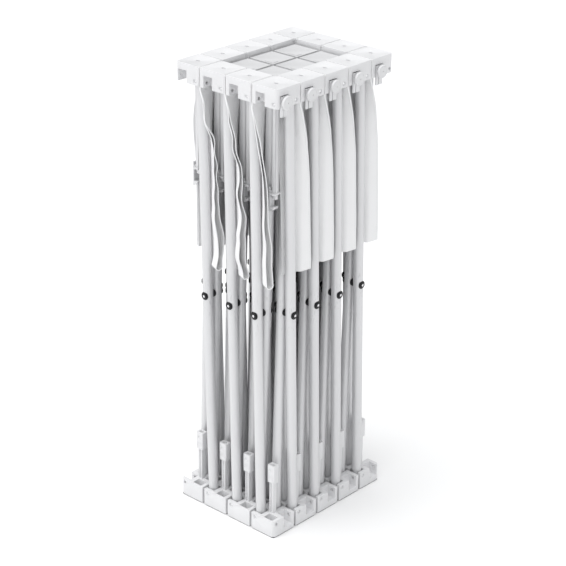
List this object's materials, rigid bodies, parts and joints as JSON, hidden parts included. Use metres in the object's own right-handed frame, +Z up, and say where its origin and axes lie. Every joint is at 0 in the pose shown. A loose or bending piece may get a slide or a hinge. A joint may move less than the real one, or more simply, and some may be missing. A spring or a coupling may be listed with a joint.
{
  "type": "folding display frame",
  "caption": "Folded scissor display frame: a grid of hubs joined by crossed round tubes, with lock rods, sockets, levelling feet and a looped edge ribbon.",
  "frame": {"origin": "on the ground, at the centre of the folded footprint", "axes": "+Z up, along the folded tubes; +X along the short rows of hubs, towards the levelling feet; +Y along the long rows"},
  "size_m": [0.2524, 0.3046, 0.87],
  "materials": {
    "hub_plastic": "satin moulded",
    "tube_aluminium": "satin powder coat",
    "foot_plastic": "satin moulded",
    "ribbon_fabric": "woven polyester tape"
  },
  "bodies": {
    "frame": {"upper_hub_1_1": "hub_plastic", "upper_hub_1_2": "hub_plastic", "upper_hub_1_3": "hub_plastic", "upper_hub_1_4": "hub_plastic", "upper_hub_1_5": "hub_plastic", "upper_hub_2_1": "hub_plastic", "upper_hub_2_5": "hub_plastic", "upper_hub_3_1": "hub_plastic", "upper_hub_3_5": "hub_plastic", "upper_hub_4_1": "hub_plastic", "upper_hub_4_2": "hub_plastic", "upper_hub_4_3": "hub_plastic", "upper_hub_4_4": "hub_plastic", "upper_hub_4_5": "hub_plastic", "lower_hub_1_1": "hub_plastic", "lower_hub_1_2": "hub_plastic", "lower_hub_1_3": "hub_plastic", "lower_hub_1_4": "hub_plastic", "lower_hub_1_5": "hub_plastic", "lower_hub_2_1": "hub_plastic", "lower_hub_2_5": "hub_plastic", "lower_hub_3_1": "hub_plastic", "lower_hub_3_5": "hub_plastic", "lower_hub_4_1": "hub_plastic", "lower_hub_4_2": "hub_plastic", "lower_hub_4_3": "hub_plastic", "lower_hub_4_4": "hub_plastic", "lower_hub_4_5": "hub_plastic", "upper_inner_hub_2_2": "hub_plastic", "upper_inner_hub_2_3": "hub_plastic", "upper_inner_hub_2_4": "hub_plastic", "upper_inner_hub_3_2": "hub_plastic", "upper_inner_hub_3_3": "hub_plastic", "upper_inner_hub_3_4": "hub_plastic", "inner_column_2_2": "tube_aluminium", "inner_column_2_3": "tube_aluminium", "inner_column_2_4": "tube_aluminium", "inner_column_3_2": "tube_aluminium", "inner_column_3_3": "tube_aluminium", "inner_column_3_4": "tube_aluminium", "short_scissor_1_1": "tube_aluminium", "short_scissor_1_5": "tube_aluminium", "short_scissor_2_1": "tube_aluminium", "short_scissor_2_5": "tube_aluminium", "short_scissor_3_1": "tube_aluminium", "short_scissor_3_5": "tube_aluminium", "long_scissor_1_1": "tube_aluminium", "long_scissor_4_1": "tube_aluminium", "long_scissor_1_2": "tube_aluminium", "long_scissor_4_2": "tube_aluminium", "long_scissor_1_3": "tube_aluminium", "long_scissor_4_3": "tube_aluminium", "long_scissor_1_4": "tube_aluminium", "long_scissor_4_4": "tube_aluminium", "edge_ribbon": "ribbon_fabric"},
    "foot_1": {"foot_1": "foot_plastic"},
    "foot_2": {"foot_2": "foot_plastic"},
    "foot_3": {"foot_3": "foot_plastic"},
    "foot_4": {"foot_4": "foot_plastic"},
    "foot_5": {"foot_5": "foot_plastic"}
  },
  "joints": [
    {"name": "foot_1_screw", "type": "slide", "parent": "frame", "child": "foot_1", "axis": [1, 0, 0], "range_m": [0, 0.01]},
    {"name": "foot_2_screw", "type": "slide", "parent": "frame", "child": "foot_2", "axis": [1, 0, 0], "range_m": [0, 0.01]},
    {"name": "foot_3_screw", "type": "slide", "parent": "frame", "child": "foot_3", "axis": [1, 0, 0], "range_m": [0, 0.01]},
    {"name": "foot_4_screw", "type": "slide", "parent": "frame", "child": "foot_4", "axis": [1, 0, 0], "range_m": [0, 0.01]},
    {"name": "foot_5_screw", "type": "slide", "parent": "frame", "child": "foot_5", "axis": [1, 0, 0], "range_m": [0, 0.01]}
  ]
}
